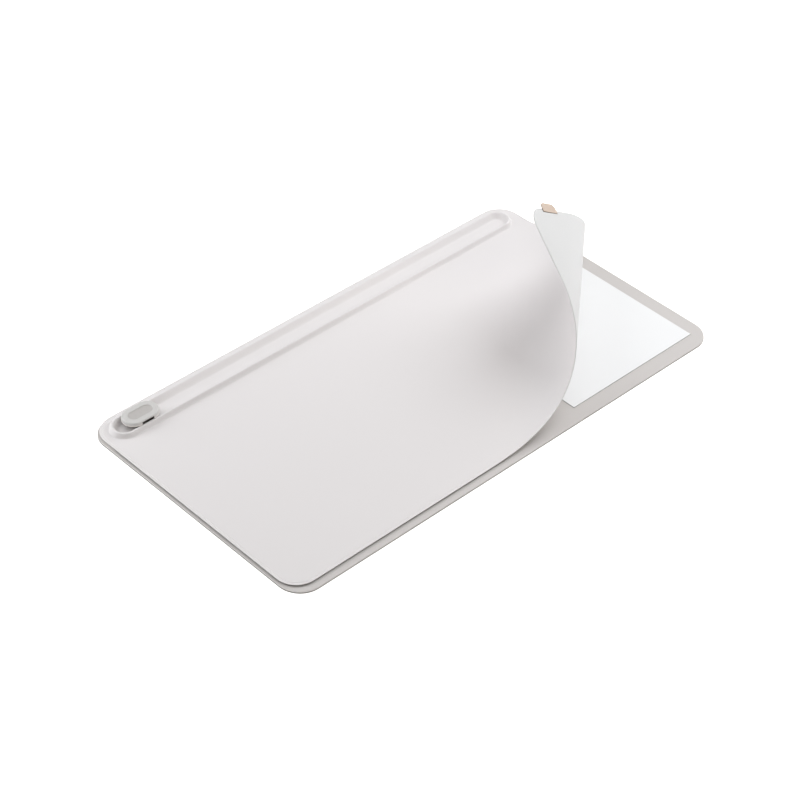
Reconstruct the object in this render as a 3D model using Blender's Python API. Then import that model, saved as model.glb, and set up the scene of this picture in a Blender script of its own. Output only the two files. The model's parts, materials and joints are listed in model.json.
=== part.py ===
"""Desk mat with a document pocket, a pen tray, a magnetic cable holder and a front-right corner that curls open.

Lengths in this file are millimetres and become metres where a mesh or a place is set.
The origin is the middle of the underside: +X runs along the long side, +Y to the pen tray, +Z up.
"""

from math import cos, exp, pi, radians, sin, tan

import bmesh
import bpy
from mathutils import Matrix, Vector

MM = 0.001

# The mat in plan.
LENGTH = 686.0
DEPTH = 376.0
BASE_CORNER = 31.0
LEAF_CORNER = 29.0
LEAF_LEFT = 3.0
LEAF_RIGHT = 0.3
LEAF_FRONT = 9.5
LEAF_BACK = 0.3

# The stack of layers, as bottom and top heights.
ANTI_SLIP_Z = (0.0, 0.6)
FELT_Z = (0.75, 2.5)
PAPER_Z = (2.8, 3.2)
TAB_Z = (2.75, 3.35)
LINING_Z = (3.5, 4.0)
SKIN_Z = (4.1, 5.1)
KEEPER_Z = (2.65, 3.05)
BOND_Z = (2.65, 3.95)
CORE_FOOT_Z = 2.65
CLEARANCE = 0.3
LINING_INSET = 0.6

# The pen tray: a stadium whose centre line runs along X.
TRAY_FROM_BACK = 28.8
TRAY_END = 14.5
TRAY_FOOT_RADIUS = 20.0
TRAY_PROFILE = (
    (20.6, 4.75), (20.0, 5.15), (18.8, 5.9), (17.7, 8.3), (17.1, 10.1), (16.2, 11.1), (15.2, 11.4),
    (14.2, 11.0), (13.5, 10.0), (12.3, 7.3), (11.1, 5.3), (9.6, 4.4), (8.4, 4.2),
)
TRAY_SKIN = 1.0
TRAY_PLATE_HOLE = 19.7
CORE_FIRST, CORE_LAST = 2, 10
TRAY_SEGMENTS = 28

# The steel keepers that the holder's magnets cling to, at both ends of the tray.
KEEPER_SIZE = (44.0, 13.0)
KEEPER_FROM_END = 43.0

# The hinge line where the leaf leaves the tray cover.
LIFT_FROM_BACK = 50.0

# The curl: a fan of hinge lines across the front-right corner.
ROLL_AXIS_DEG = 40.9
ROLL_START = 110.3
ROLL_TOTAL_DEG = 136.0
ROLL_HINGES = 16
TIGHTEST_RADIUS = 50.4
OPENING_EXTRA, OPENING_FADE = 87.2, 2.24
TIP_EXTRA = 32.0

# The cable holder, centred on the tray's centre line.
HOLDER_FROM_LEFT = 57.9
HOLDER_HALF = 9.2
CAP_PROFILE = (
    (15.1, 11.75), (15.6, 12.2), (15.6, 13.2), (15.1, 13.7), (15.0, 15.4), (14.4, 16.5), (13.2, 17.2),
    (7.4, 17.2), (6.7, 16.8), (6.0, 16.5),
)
BODY_PROFILE = ((8.0, 5.25), (9.2, 5.7), (11.6, 9.4), (12.6, 11.35))
FOOT_PROFILE = ((7.7, 4.55), (7.7, 5.1))
SLOT_WIDTH = 16.4
SLOT_Z = (11.0, 15.7)
MAGNET_RADIUS, MAGNET_Z, MAGNET_AT = 4.5, (5.5, 8.3), 8.5
HOLDER_SEGMENTS = 28

# The sheet of A4 paper in the pocket, and the pull tab.
PAPER_SIZE = (210.0, 297.0)
PAPER_FRONT_LEFT = (112.8, -166.9)
TAB_X = (337.6, 350.6)
TAB_Y = (-147.0, -116.0)
TAB_CORNER = 7.0

COLOURS = {
    "leather": ((0.78, 0.75, 0.74), 0.55, 0.0),
    "lining": ((0.76, 0.76, 0.75), 0.8, 0.0),
    "felt": ((0.63, 0.60, 0.58), 0.95, 0.0),
    "rubber": ((0.10, 0.10, 0.10), 0.85, 0.0),
    "adhesive": ((0.80, 0.80, 0.78), 0.7, 0.0),
    "foam": ((0.55, 0.55, 0.54), 0.8, 0.0),
    "steel": ((0.60, 0.60, 0.60), 0.35, 1.0),
    "magnet": ((0.50, 0.50, 0.52), 0.3, 1.0),
    "silicone": ((0.52, 0.50, 0.47), 0.5, 0.0),
    "paper": ((0.90, 0.90, 0.90), 0.85, 0.0),
    "tab": ((0.62, 0.44, 0.30), 0.6, 0.0),
}


def material(name):
    """The named Principled material, made on first use."""
    found = bpy.data.materials.get(name)
    if found:
        return found
    made = bpy.data.materials.new(name)
    made.use_nodes = True
    shader = made.node_tree.nodes["Principled BSDF"]
    colour, roughness, metallic = COLOURS[name]
    shader.inputs["Base Color"].default_value = (*colour, 1.0)
    shader.inputs["Roughness"].default_value = roughness
    shader.inputs["Metallic"].default_value = metallic
    return made


def add(name, bm, look, parent=None):
    """Turn a bmesh in millimetres into an object in metres, under its parent's frame."""
    bmesh.ops.recalc_face_normals(bm, faces=bm.faces)
    bmesh.ops.scale(bm, vec=(MM, MM, MM), verts=bm.verts)
    mesh = bpy.data.meshes.new(name)
    bm.to_mesh(mesh)
    bm.free()
    mesh.shade_smooth()
    mesh.set_sharp_from_angle(angle=radians(35))
    obj = bpy.data.objects.new(name, mesh)
    bpy.context.collection.objects.link(obj)
    obj.data.materials.append(material(look))
    obj.parent = parent
    return obj


def subtract(obj, bm, label):
    """Cut a hidden tool body out of an object."""
    tool = add(f"{label}_cutter", bm, "steel")
    tool.hide_render = True
    tool.display_type = "WIRE"
    cut = obj.modifiers.new(label, "BOOLEAN")
    cut.operation = "DIFFERENCE"
    cut.solver = "EXACT"
    cut.object = tool


def join(obj, bm, label):
    """Unite a hidden tool body with an object."""
    subtract(obj, bm, label)
    obj.modifiers[label].operation = "UNION"


def plate(x, y, z, radius=0.0, corners=lambda v: True, segments=8):
    """A flat plate between limits, with its chosen upright corners rounded."""
    bm = bmesh.new()
    bmesh.ops.create_cube(bm, size=1.0)
    size = (x[1] - x[0], y[1] - y[0], z[1] - z[0])
    bmesh.ops.scale(bm, vec=size, verts=bm.verts)
    bmesh.ops.translate(bm, vec=((x[0] + x[1]) / 2, (y[0] + y[1]) / 2, (z[0] + z[1]) / 2), verts=bm.verts)
    middle = Vector(((x[0] + x[1]) / 2, (y[0] + y[1]) / 2, 0.0))
    uprights = [e for e in bm.edges
                if abs(e.verts[0].co.z - e.verts[1].co.z) > size[2] / 2 and corners(e.verts[0].co - middle)]
    if radius:
        bmesh.ops.bevel(bm, geom=uprights, offset=radius, offset_type="OFFSET", segments=segments,
                        profile=0.5, affect="EDGES", clamp_overlap=True, material=-1)
    return bm


def stadium_loop(bm, radius, z, half, segments):
    """A stadium-shaped ring of edges: a circle whose right and left halves are moved apart."""
    ring = bmesh.ops.create_circle(bm, cap_ends=False, segments=segments, radius=radius,
                                   matrix=Matrix.Rotation(pi / segments, 4, "Z"))["verts"]
    for vert in ring:
        vert.co.x += half if vert.co.x > 0 else -half
        vert.co.z = z
    return list({edge for vert in ring for edge in vert.link_edges})


def stadium_body(profile, half, segments, ring=False):
    """A body whose (radius, height) profile runs round a stadium; its ends are capped, or meet in a ring."""
    bm = bmesh.new()
    loops = [stadium_loop(bm, radius, z, half, segments) for radius, z in profile]
    for low, high in zip(loops, loops[1:]):
        bmesh.ops.bridge_loops(bm, edges=low + high)
    if ring:
        bmesh.ops.bridge_loops(bm, edges=loops[-1] + loops[0])
    else:
        bmesh.ops.contextual_create(bm, geom=loops[0])
        bmesh.ops.contextual_create(bm, geom=loops[-1])
    return bm


def moved(bm, x, y, z=0.0):
    """The same bmesh, moved."""
    bmesh.ops.translate(bm, vec=(x, y, z), verts=bm.verts)
    return bm


def offset_profile(profile, distance):
    """The profile moved sideways, to its right as it is walked from the foot inwards."""
    shifted = []
    for k, (radius, z) in enumerate(profile):
        before = profile[max(k - 1, 0)]
        after = profile[min(k + 1, len(profile) - 1)]
        run = Vector((after[0] - before[0], after[1] - before[1])).normalized()
        shifted.append((radius + run.y * distance, z - run.x * distance))
    return shifted


TRAY_Y = DEPTH / 2 - TRAY_FROM_BACK
TRAY_HALF = LENGTH / 2 - TRAY_END - TRAY_FOOT_RADIUS
LIFT_Y = DEPTH / 2 - LIFT_FROM_BACK
LEAF_X = (-LENGTH / 2 + LEAF_LEFT, LENGTH / 2 - LEAF_RIGHT)
LEAF_Y = (-DEPTH / 2 + LEAF_FRONT, LIFT_Y - CLEARANCE / 2)
ROLL_AXIS = Vector((cos(radians(ROLL_AXIS_DEG)), sin(radians(ROLL_AXIS_DEG)), 0.0))
ROLL_RUN = Vector((ROLL_AXIS.y, -ROLL_AXIS.x, 0.0))
ROLL_STEP = radians(ROLL_TOTAL_DEG / ROLL_HINGES)


def bend_radius(hinge):
    """The sheet's bend radius at a hinge: loose where the curl starts, tightest early, looser at the tip."""
    along = hinge / (ROLL_HINGES - 1)
    return TIGHTEST_RADIUS + OPENING_EXTRA * exp(-hinge / OPENING_FADE) + TIP_EXTRA * along ** 2


def hinge_places():
    """Distances of the hinge lines from the origin along the roll direction, on the flat leaf."""
    reach = [bend_radius(hinge) * tan(ROLL_STEP / 2) for hinge in range(ROLL_HINGES)]
    places = [ROLL_START + reach[0]]
    for here, there in zip(reach, reach[1:]):
        places.append(places[-1] + here + there)
    return places


def add_base():
    """The anti-slip sheet and the felt, the two full-size layers."""
    full_x, full_y = (-LENGTH / 2, LENGTH / 2), (-DEPTH / 2, DEPTH / 2)
    add("anti_slip_sheet", plate(full_x, full_y, ANTI_SLIP_Z, BASE_CORNER), "rubber")
    add("base_felt", plate(full_x, full_y, FELT_Z, BASE_CORNER), "felt")


def add_tray():
    """The pen tray: bonding strip, moulded core, steel keepers and the formed leather cover."""
    back = DEPTH / 2 - LEAF_BACK
    cover = add("tray_cover", plate(LEAF_X, (LIFT_Y + CLEARANCE / 2, back), SKIN_Z, BASE_CORNER,
                                    lambda v: v.y > 0), "leather")
    hole = stadium_body(((TRAY_PLATE_HOLE, SKIN_Z[0] - 2), (TRAY_PLATE_HOLE, SKIN_Z[1] + 2)),
                        TRAY_HALF, TRAY_SEGMENTS)
    subtract(cover, moved(hole, 0.0, TRAY_Y), "tray_hole")
    under = offset_profile(TRAY_PROFILE, -TRAY_SKIN)
    under[0] = (TRAY_PROFILE[0][0], TRAY_PROFILE[0][1] - 0.4)
    under[-1] = (TRAY_PROFILE[-1][0], TRAY_PROFILE[-1][1] - TRAY_SKIN)
    shell = stadium_body(list(reversed(under)) + list(TRAY_PROFILE), TRAY_HALF, TRAY_SEGMENTS)
    join(cover, moved(shell, 0.0, TRAY_Y), "formed_tray")

    bond = add("bond_strip", plate((LEAF_X[0] + 1, LEAF_X[1] - 1), (LIFT_Y + 1, back - 1), BOND_Z,
                                   BASE_CORNER - 1, lambda v: v.y > 0), "adhesive")
    clear = stadium_body(((TRAY_FOOT_RADIUS, BOND_Z[0] - 1), (TRAY_FOOT_RADIUS, BOND_Z[1] + 1)),
                         TRAY_HALF, TRAY_SEGMENTS)
    subtract(bond, moved(clear, 0.0, TRAY_Y), "bond_hole")

    ridge = offset_profile(TRAY_PROFILE, -TRAY_SKIN - CLEARANCE)[CORE_FIRST:CORE_LAST]
    foot = [(ridge[-1][0], CORE_FOOT_Z), (ridge[0][0], CORE_FOOT_Z)]
    core = stadium_body(ridge + foot, TRAY_HALF, TRAY_SEGMENTS, ring=True)
    add("tray_core", moved(core, 0.0, TRAY_Y), "foam")

    for side, name in ((-1, "keeper_plate_left"), (1, "keeper_plate_right")):
        x = side * (LENGTH / 2 - KEEPER_FROM_END - TRAY_END)
        keeper = plate((-KEEPER_SIZE[0] / 2, KEEPER_SIZE[0] / 2), (-KEEPER_SIZE[1] / 2, KEEPER_SIZE[1] / 2),
                       KEEPER_Z, KEEPER_SIZE[1] / 2 - 0.5, segments=4)
        add(name, moved(keeper, x, TRAY_Y), "steel")


def add_holder():
    """The cable holder: a cap with a cable slot through it, a body in the tray, two magnets and a foot pad."""
    empty = bpy.data.objects.new("cable_holder_frame", None)
    bpy.context.collection.objects.link(empty)
    empty.location = (MM * (HOLDER_FROM_LEFT - LENGTH / 2), MM * TRAY_Y, 0.0)
    cap = add("holder_cap", stadium_body(CAP_PROFILE, HOLDER_HALF, HOLDER_SEGMENTS), "silicone", empty)
    slot = plate((-SLOT_WIDTH / 2, SLOT_WIDTH / 2), (-20.0, 20.0), SLOT_Z)
    subtract(cap, moved(slot, empty.location.x / MM, empty.location.y / MM), "cable_slot")
    body = add("holder_body", stadium_body(BODY_PROFILE, HOLDER_HALF, HOLDER_SEGMENTS), "silicone", empty)
    add("holder_foot_pad", stadium_body(FOOT_PROFILE, HOLDER_HALF, HOLDER_SEGMENTS), "felt", empty)
    for side, name in ((-1, "holder_magnet_left"), (1, "holder_magnet_right")):
        depth = MAGNET_Z[1] - MAGNET_Z[0]
        middle = Matrix.Translation((side * MAGNET_AT, 0.0, sum(MAGNET_Z) / 2))
        magnet = bmesh.new()
        bmesh.ops.create_cone(magnet, cap_ends=True, segments=24, radius1=MAGNET_RADIUS,
                              radius2=MAGNET_RADIUS, depth=depth, matrix=middle)
        add(name, magnet, "magnet", empty)
        pocket = bmesh.new()
        bmesh.ops.create_cone(pocket, cap_ends=True, segments=24, radius1=MAGNET_RADIUS + CLEARANCE,
                              radius2=MAGNET_RADIUS + CLEARANCE, depth=depth + 2 * CLEARANCE + 1.0,
                              matrix=Matrix.Translation((0.0, 0.0, -0.5)) @ middle)
        subtract(body, moved(pocket, empty.location.x / MM, empty.location.y / MM), f"{name}_pocket")


def front(corner):
    """Whether a corner, seen from a plate's middle, is at the front."""
    return corner.y < 0


def leaf_layer(layer):
    """One layer of the whole flat leaf, skin or lining."""
    if layer == "skin":
        return plate(LEAF_X, LEAF_Y, SKIN_Z, LEAF_CORNER, front)
    return plate((LEAF_X[0] + LINING_INSET, LEAF_X[1] - LINING_INSET),
                 (LEAF_Y[0] + LINING_INSET, LEAF_Y[1]), LINING_Z, LEAF_CORNER - LINING_INSET, front)


def keep_between(bm, low, high):
    """Cut a flat layer square to the roll direction and keep what lies between two distances."""
    for distance, inner in ((low, True), (high, False)):
        if distance is None:
            continue
        geometry = bm.verts[:] + bm.edges[:] + bm.faces[:]
        cut = bmesh.ops.bisect_plane(bm, geom=geometry, dist=1e-4, plane_co=ROLL_RUN * distance,
                                     plane_no=ROLL_RUN, clear_inner=inner, clear_outer=not inner)
        edges = [e for e in cut["geom_cut"] if isinstance(e, bmesh.types.BMEdge)]
        bmesh.ops.contextual_create(bm, geom=edges)
    return bm


def add_leaf():
    """The leaf: its flat panel, then the strips of the curl, each turned about the hinge line before it."""
    places = hinge_places()
    half_gap = CLEARANCE / 2
    for layer, look in (("skin", "leather"), ("lining", "lining")):
        add(f"leaf_{layer}", keep_between(leaf_layer(layer), None, places[0] - half_gap), look)

    corner_along = ROLL_AXIS.dot(Vector((LEAF_X[1], LEAF_Y[0], 0.0)))
    parent, previous = None, None
    for number, place in enumerate(places, start=1):
        origin = ROLL_RUN * place + ROLL_AXIS * corner_along + Vector((0.0, 0.0, SKIN_Z[1]))
        hinge = bpy.data.objects.new(f"curl_{number:02d}_hinge", None)
        bpy.context.collection.objects.link(hinge)
        hinge.parent = parent
        step = origin if previous is None else origin - previous
        turn = Matrix.Rotation(-ROLL_STEP, 4, ROLL_AXIS)
        hinge.matrix_local = Matrix.Translation(step * MM) @ turn
        end = places[number] - half_gap if number < ROLL_HINGES else None
        for layer, look in (("skin", "leather"), ("lining", "lining")):
            strip = keep_between(leaf_layer(layer), place + half_gap, end)
            add(f"curl_{layer}_{number:02d}", moved(strip, *-origin), look, hinge)
        parent, previous = hinge, origin

    tab = plate(TAB_X, TAB_Y, TAB_Z, TAB_CORNER, lambda v: v.x > 0)
    add("pull_tab", moved(tab, *-previous), "tab", parent)


def add_paper():
    """The A4 sheets that lie in the pocket."""
    left, near = PAPER_FRONT_LEFT
    add("paper_sheets", plate((left, left + PAPER_SIZE[0]), (near, near + PAPER_SIZE[1]), PAPER_Z), "paper")


def main():
    for obj in list(bpy.data.objects):
        bpy.data.objects.remove(obj, do_unlink=True)
    add_base()
    add_tray()
    add_holder()
    add_leaf()
    add_paper()


main()
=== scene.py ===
"""A two-layer desk mat: felt base, curling leather leaf, pen tray, cable holder, pull tab and paper.

Pieces are modelled in millimetres and become metres when each is finished. +X runs along the mat, +Y to the
tray and +Z up.
"""

import json
from math import atan2, cos, exp, hypot, pi, radians, sin, tan

import bmesh
import bpy
from bpy.props import FloatProperty, FloatVectorProperty, IntProperty, PointerProperty
from bpy.types import Operator, Panel, PropertyGroup
from mathutils import Matrix, Vector


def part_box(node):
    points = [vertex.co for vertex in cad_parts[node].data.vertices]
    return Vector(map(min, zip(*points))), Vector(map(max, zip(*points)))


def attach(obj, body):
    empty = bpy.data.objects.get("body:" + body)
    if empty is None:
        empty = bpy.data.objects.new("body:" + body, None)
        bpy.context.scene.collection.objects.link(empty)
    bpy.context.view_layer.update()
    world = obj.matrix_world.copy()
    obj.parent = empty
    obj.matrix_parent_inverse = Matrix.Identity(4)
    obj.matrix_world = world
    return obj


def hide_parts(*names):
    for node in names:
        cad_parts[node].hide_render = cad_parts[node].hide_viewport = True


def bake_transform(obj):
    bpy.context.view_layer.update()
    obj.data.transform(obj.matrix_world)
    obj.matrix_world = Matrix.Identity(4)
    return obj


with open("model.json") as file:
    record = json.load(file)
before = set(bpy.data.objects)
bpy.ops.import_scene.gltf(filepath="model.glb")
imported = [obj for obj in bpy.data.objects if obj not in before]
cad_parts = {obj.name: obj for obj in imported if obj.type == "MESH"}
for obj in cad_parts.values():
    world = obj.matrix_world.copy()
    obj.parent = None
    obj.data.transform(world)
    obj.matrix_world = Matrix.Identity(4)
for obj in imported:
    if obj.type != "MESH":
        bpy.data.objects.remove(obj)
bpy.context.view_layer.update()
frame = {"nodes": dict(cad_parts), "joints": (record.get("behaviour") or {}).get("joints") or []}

bl_info = {
    "name": "Desk mat",
    "version": (1, 0, 0),
    "blender": (4, 5, 0),
    "location": "3D View > Sidebar > Desk mat",
    "description": "Builds a two-layer desk mat with a curled corner, a pen tray and a cable holder",
    "category": "Add Mesh",
}

MM = 0.001
UP = Vector((0.0, 0.0, 1.0))


def cad_box(node):
    """The lowest and highest corner of a CAD node, in millimetres."""
    low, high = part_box(node)
    return low / MM, high / MM


# ----------------------------------------------------------
# Settings
# ----------------------------------------------------------


def length(name, text, value):
    """A length setting, in metres."""
    return FloatProperty(name=name, description=text, default=value, min=0.0, unit="LENGTH", precision=5)


def colour(name, text, value):
    """A colour setting, linear."""
    return FloatVectorProperty(name=name, description=text, default=value, size=3, min=0.0, max=1.0,
                               subtype="COLOR")


class LeafSettings(PropertyGroup):
    """The leaf that lifts: leather above, lining below."""

    skin_edge: length("Leather edge", "Rounding of the leather's upper edge", 0.00045)
    lining_edge: length("Lining edge", "Rounding of the lining's lower edge", 0.0002)
    crease_inset: length("Crease inset", "Distance of the pressed line from the leaf's edge", 0.0031)
    crease_depth: length("Crease depth", "Depth of the pressed line", 0.00035)
    front_corner: length("Front corners", "Radius of the leaf's front corners", 0.029)
    back_corner: length("Back corners", "Radius of the leaf's back corners", 0.0307)
    roll_start: length("Roll start", "Where the corner leaves the flat, along the roll", 0.1103)
    rows: IntProperty(name="Rows", description="Rows of faces in each bend of the roll", default=8, min=2)
    # The leather's front and back colours: the back is paler, as painted light for the brighter light on the
    # tray and the back.
    leather: colour("Leather", "Colour of the leather at the front", (0.735, 0.716, 0.705))
    leather_back: colour("Leather at the back", "Colour of the leather at the back", (0.90, 0.90, 0.90))
    lining: colour("Lining", "Colour of the lining", (0.655, 0.65, 0.645))
    # The cut edge's near-black colour is painted shadow: it stands for the shade in the gap under the flat
    # leaf's edge.
    edge: colour("Cut edge", "Colour of the leather's cut edge", (0.05, 0.045, 0.04))
    # The curled edge's colour is the cut edge's own pale tone, made paler still as painted light, since the
    # curled edge faces away from the lamps.
    lit_curl_edge: colour("Lit curl edge", "Colour of the cut edge at the handled corner", (0.86, 0.83, 0.81))
    # The lining edge's near-black colour is painted shade, darkening the gap under the flat leaf's edge.
    seam: colour("Seam", "Colour of the glue line round the lining's edge", (0.09, 0.08, 0.07))
    tab: colour("Pull tab", "Colour of the pull tab", (0.54, 0.42, 0.33))
    # The tab's dark edge colour is partly the tab's own dark cut edge and partly painted shade along its
    # edge and the gap beside it.
    tab_edge: colour("Tab edge", "Colour of the pull tab's edge", (0.13, 0.085, 0.06))


class BaseSettings(PropertyGroup):
    """The felt base and the sheet under it."""

    corner: length("Corner", "Radius of the base's corners", 0.031)
    felt_edge: length("Felt edge", "Rounding of the felt's edge", 0.0005)
    # The anti-slip sheet is dark of its own, and its side is raised over the felt's foot, so that it also
    # paints the shade along the base's lowest edge.
    sole: length("Sole", "Height of the anti-slip sheet's side above the desk", 0.00115)
    felt: colour("Felt", "Colour of the felt", (0.505, 0.487, 0.472))
    rubber: colour("Anti-slip sheet", "Colour of the sheet under the felt", (0.03, 0.027, 0.025))
    paper: colour("Paper", "Colour of the paper", (0.925, 0.92, 0.915))


class HolderSettings(PropertyGroup):
    """The cable holder."""

    cap: colour("Cap", "Colour of the cap", (0.62, 0.605, 0.585))
    # The dish is painted darker than the cap, as shade in its shallow hollow.
    dish: colour("Dish", "Colour of the dish in the cap", (0.51, 0.485, 0.465))
    lip: colour("Lip", "Colour of the cap's lower lip", (0.78, 0.74, 0.695))
    # The lower part's dark colour is painted shadow, for the shade under the cap's lip.
    body: colour("Body", "Colour of the lower part", (0.11, 0.095, 0.08))
    # The slot's near-black colour is painted shade inside the cable slot.
    slot: colour("Slot", "Colour inside the cable slot", (0.02, 0.018, 0.016))
    segments: IntProperty(name="Segments", description="Points round the holder's ends", default=72, min=12)


class StageSettings(PropertyGroup):
    """The floor, the lights and the camera."""

    azimuth: FloatProperty(name="Azimuth", description="Camera's turn about the vertical",
                           default=radians(-43.8765), subtype="ANGLE")
    elevation: FloatProperty(name="Elevation", description="Camera's angle above the floor",
                             default=radians(40.2468), subtype="ANGLE")
    roll: FloatProperty(name="Roll", description="Camera's turn about its line of sight",
                        default=radians(1.1876), subtype="ANGLE")
    distance: length("Distance", "Camera's distance from its target", 2.71542)
    lens: FloatProperty(name="Lens", description="Focal length in millimetres", default=102.024, min=1.0)
    sky: FloatProperty(name="Sky", description="Strength of the even light", default=0.06, min=0.0)
    lamps: FloatProperty(name="Lamps", description="Strength of all the lamps together",
                         default=1.08, min=0.0)
    floor_glow: FloatProperty(name="Floor glow", description="Light from the floor itself",
                              default=0.30, min=0.0)
    floor_seen: FloatProperty(name="Floor brightness", description="How bright the floor's glow looks",
                              default=0.72, min=0.0)
    lamp_size: length("Lamp size", "Side of each square lamp", 1.0)
    lamp_reach: length("Lamp reach", "Distance from each lamp to the middle of the mat", 1.6)


# ----------------------------------------------------------
# Shaders
# ----------------------------------------------------------


def node(tree, kind, sockets=None, **settings):
    """A shader node with its settings and its sockets' values or incoming links."""
    made = tree.nodes.new(kind)
    for name, value in settings.items():
        setattr(made, name, value)
    for name, value in (sockets or {}).items():
        if isinstance(value, bpy.types.NodeSocket):
            tree.links.new(value, made.inputs[name])
        else:
            made.inputs[name].default_value = value
    return made


def math(tree, operation, a, b=0.0, clamp=False):
    """The result of one Math node."""
    return node(tree, "ShaderNodeMath", {0: a, 1: b}, operation=operation, use_clamp=clamp).outputs[0]


def spread(tree, value, low, high):
    """A value from 0 to 1 spread from low to high."""
    return node(tree, "ShaderNodeMapRange", {"Value": value, "To Min": low, "To Max": high}).outputs[0]


def mix(tree, factor, a, b):
    """Two colours mixed by a factor."""
    made = node(tree, "ShaderNodeMix", data_type="RGBA")
    for socket, value in zip((made.inputs[0], made.inputs[6], made.inputs[7]), (factor, a, b)):
        if isinstance(value, bpy.types.NodeSocket):
            tree.links.new(value, socket)
        else:
            socket.default_value = value if isinstance(value, float) else (*value[:3], 1.0)
    return made.outputs[2]


def new_group(name, inputs, outputs):
    """An empty shader node group with its sockets, its input node and its output node."""
    tree = bpy.data.node_groups.new(name, "ShaderNodeTree")
    for label, kind in inputs:
        tree.interface.new_socket(label, in_out="INPUT", socket_type=kind)
    for label in outputs:
        tree.interface.new_socket(label, in_out="OUTPUT", socket_type="NodeSocketFloat")
    return tree, tree.nodes.new("NodeGroupInput").outputs, tree.nodes.new("NodeGroupOutput").inputs


VECTOR, VALUE = "NodeSocketVector", "NodeSocketFloat"


def make_groups():
    """The patterns that several finishes share."""
    tree, given, out = new_group("Pebble grain", (("Vector", VECTOR), ("Scale", VALUE)), ("Height", "Pore"))
    warp = node(tree, "ShaderNodeTexNoise", {"Vector": given["Vector"], "Scale": 90.0, "Detail": 2.0})
    lean = node(tree, "ShaderNodeVectorMath", {0: warp.outputs["Color"], "Scale": 0.004}, operation="SCALE")
    bent = node(tree, "ShaderNodeVectorMath", {0: given["Vector"], 1: lean.outputs[0]}, operation="ADD")
    cells = node(tree, "ShaderNodeTexVoronoi", {"Vector": bent.outputs[0], "Scale": given["Scale"]},
                 feature="SMOOTH_F1")
    fine = node(tree, "ShaderNodeTexNoise",
                {"Vector": given["Vector"], "Detail": 3.0,
                 "Scale": math(tree, "MULTIPLY", given["Scale"], 2.6)})
    height = math(tree, "ADD", math(tree, "MULTIPLY", cells.outputs["Distance"], 0.7),
                  math(tree, "MULTIPLY", fine.outputs[0], 0.5))
    tree.links.new(height, out["Height"])
    tree.links.new(math(tree, "GREATER_THAN", cells.outputs["Distance"], 0.62), out["Pore"])

    tree, given, out = new_group("Fibres", (("Vector", VECTOR), ("Scale", VALUE)), ("Height", "Fleck"))
    layers = []
    for turn in (0.3, 1.35, 2.4):
        lie = node(tree, "ShaderNodeMapping",
                   {"Vector": given["Vector"], "Rotation": (0.0, 0.0, turn), "Scale": (1.0, 7.0, 3.0)})
        strand = node(tree, "ShaderNodeTexNoise",
                      {"Vector": lie.outputs[0], "Scale": given["Scale"], "Detail": 3.0, "Roughness": 0.6,
                       "Distortion": 0.6})
        layers.append(strand.outputs[0])
    height = math(tree, "MAXIMUM", math(tree, "MAXIMUM", layers[0], layers[1]), layers[2])
    tree.links.new(height, out["Height"])
    fleck = node(tree, "ShaderNodeMapRange", {"Value": height, "From Min": 0.5, "From Max": 0.78})
    tree.links.new(fleck.outputs[0], out["Fleck"])

    tree, given, out = new_group("Mottle", (("Vector", VECTOR), ("Scale", VALUE)), ("Broad", "Fine"))
    broad = node(tree, "ShaderNodeTexNoise",
                 {"Vector": given["Vector"], "Scale": given["Scale"], "Detail": 2.0, "Roughness": 0.45})
    fine = node(tree, "ShaderNodeTexNoise",
                {"Vector": given["Vector"], "Scale": math(tree, "MULTIPLY", given["Scale"], 9.0),
                 "Detail": 4.0})
    tree.links.new(broad.outputs[0], out["Broad"])
    tree.links.new(fine.outputs[0], out["Fine"])

    tree, given, out = new_group("Rim", (("Reach", VALUE),), ("Mask",))
    rim = node(tree, "ShaderNodeAttribute", attribute_name="rim")
    worn = node(tree, "ShaderNodeMapRange",
                {"Value": rim.outputs["Fac"], "From Min": math(tree, "SUBTRACT", 1.0, given["Reach"])})
    tree.links.new(worn.outputs[0], out["Mask"])


def place_group(tree, name, **sockets):
    """A node group placed in a material."""
    made = tree.nodes.new("ShaderNodeGroup")
    made.node_tree = bpy.data.node_groups[name]
    for label, value in sockets.items():
        if isinstance(value, bpy.types.NodeSocket):
            tree.links.new(value, made.inputs[label])
        else:
            made.inputs[label].default_value = value
    return made.outputs


def new_finish(name, roughness, uv=False, **constants):
    """A material with its shader, and the coordinates that its patterns read."""
    made = bpy.data.materials.new(name)
    made.use_nodes = True
    tree = made.node_tree
    shader = tree.nodes["Principled BSDF"]
    shader.inputs["Roughness"].default_value = roughness
    for label, value in constants.items():
        shader.inputs[label.replace("_", " ")].default_value = value
    if uv:
        where = node(tree, "ShaderNodeUVMap", uv_map="flat").outputs["UV"]
    else:
        where = tree.nodes.new("ShaderNodeTexCoord").outputs["Object"]
    return made, tree, shader, where


def bump(tree, shader, height, strength, distance):
    """Feed a height to the shader's normal."""
    made = node(tree, "ShaderNodeBump", {"Height": height, "Strength": strength, "Distance": distance})
    tree.links.new(made.outputs[0], shader.inputs["Normal"])


def shade(base, factor):
    """A colour made darker or lighter."""
    return tuple(min(channel * factor, 1.0) for channel in base)


# Where the leather's tone starts and stops getting paler, along the flat sheet from front to back. The paler
# tone is painted light, standing in for the brighter light on the back and the tray.
PALER_FROM, PALER_TO = -0.19, 0.17


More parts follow.
